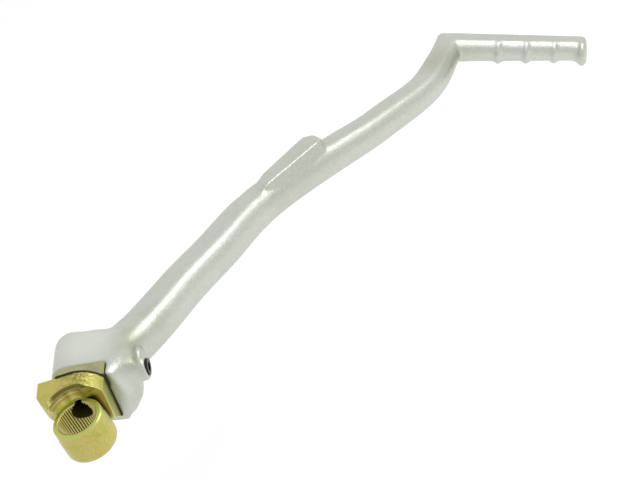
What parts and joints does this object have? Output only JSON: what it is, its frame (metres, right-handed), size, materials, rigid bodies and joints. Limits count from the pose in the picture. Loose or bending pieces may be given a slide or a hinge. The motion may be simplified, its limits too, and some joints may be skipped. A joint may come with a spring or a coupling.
{
  "type": "kick start lever",
  "caption": "Folding kick start lever: serrated knuckle with a swivel post, forged S-bend arm with a raised pad, and a ridged foot peg at its end.",
  "frame": {"origin": "centre of the serrated bore at the knuckle's engine-side end", "axes": "+Z runs out along the bore, away from the engine; +Y is the swivel axis towards the hub; +X is the side that the folded arm lies on"},
  "size_m": [0.2355, 0.279, 0.1088],
  "materials": {
    "forged_aluminium": "satin, fine shot-blasted grain",
    "yellow_zinc": "yellow zinc plate with a faint rainbow on the turned faces",
    "khaki_zinc": "dull zinc plate",
    "black_rubber": "matt",
    "washer_steel": "satin",
    "spring_steel": "phosphated",
    "bearing_steel": "polished",
    "black_oxide": "black oxide"
  },
  "bodies": {
    "knuckle": {"knuckle": "yellow_zinc", "dust_seal": "black_rubber", "pivot_seal_ring": "black_rubber", "thrust_washer": "washer_steel", "circlip": "spring_steel"},
    "lever": {"lever_arm": "forged_aluminium", "pivot_bush": "khaki_zinc", "detent_plug": "black_oxide", "detent_spring": "spring_steel"},
    "ball": {"detent_ball": "bearing_steel"}
  },
  "joints": [
    {"name": "lever_swing", "type": "hinge", "parent": "knuckle", "child": "lever", "pos_m": [0, 0.0191, 0.01305], "axis": [0, -1, 0], "range_deg": [0, 110]},
    {"name": "ball_slide", "type": "slide", "parent": "lever", "child": "ball", "axis": [0.9848, 0, -0.1736], "range_m": [0, 0.0008], "stiffness_N_per_m": 8000, "deforming": ["detent_spring"]}
  ]
}
